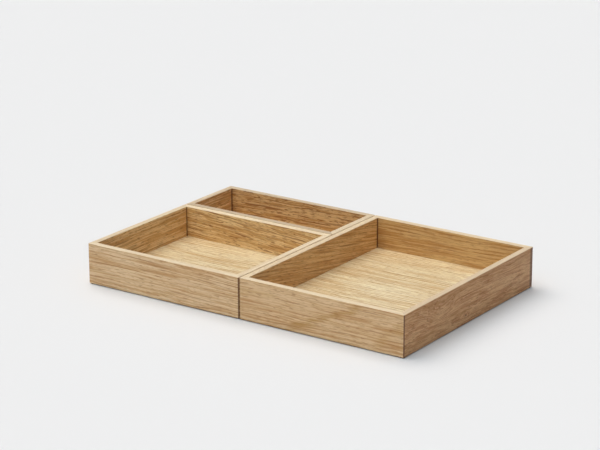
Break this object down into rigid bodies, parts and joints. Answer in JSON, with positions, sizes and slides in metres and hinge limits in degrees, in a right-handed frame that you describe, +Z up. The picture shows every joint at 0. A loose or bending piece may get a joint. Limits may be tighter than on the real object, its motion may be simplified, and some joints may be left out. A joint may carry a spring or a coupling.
{
  "type": "drawer organizer insert",
  "caption": "Low open-topped oak trays with mitred corners, standing side by side as a drawer organizer insert.",
  "frame": {"origin": "under the middle of the insert, on the surface that the trays stand on", "axes": "+X along the insert's width to the right, +Y along its depth to the back, +Z up"},
  "size_m": [0.4, 0.2586, 0.0458],
  "materials": {
    "tray_walls": "clear satin oil on oak, grain along each wall",
    "floor_panels": "clear satin oil on oak, grain along X",
    "corner_tongues": "raw sawn, glued",
    "grip_pads": "matt"
  },
  "bodies": {
    "large_tray": {"large_tray_front_wall": "tray_walls", "large_tray_right_wall": "tray_walls", "large_tray_back_wall": "tray_walls", "large_tray_left_wall": "tray_walls", "large_tray_floor_panel": "floor_panels", "large_tray_corner_tongues": "corner_tongues", "large_tray_grip_pads": "grip_pads"},
    "medium_tray": {"medium_tray_front_wall": "tray_walls", "medium_tray_right_wall": "tray_walls", "medium_tray_back_wall": "tray_walls", "medium_tray_left_wall": "tray_walls", "medium_tray_floor_panel": "floor_panels", "medium_tray_corner_tongues": "corner_tongues", "medium_tray_grip_pads": "grip_pads"},
    "small_tray": {"small_tray_front_wall": "tray_walls", "small_tray_right_wall": "tray_walls", "small_tray_back_wall": "tray_walls", "small_tray_left_wall": "tray_walls", "small_tray_floor_panel": "floor_panels", "small_tray_corner_tongues": "corner_tongues", "small_tray_grip_pads": "grip_pads"}
  },
  "joints": [
    {"name": "medium_tray_lift", "type": "slide", "parent": "large_tray", "child": "medium_tray", "axis": [0, 0, 1], "range_m": [0, 0.06]},
    {"name": "small_tray_lift", "type": "slide", "parent": "large_tray", "child": "small_tray", "axis": [0, 0, 1], "range_m": [0, 0.06]}
  ]
}
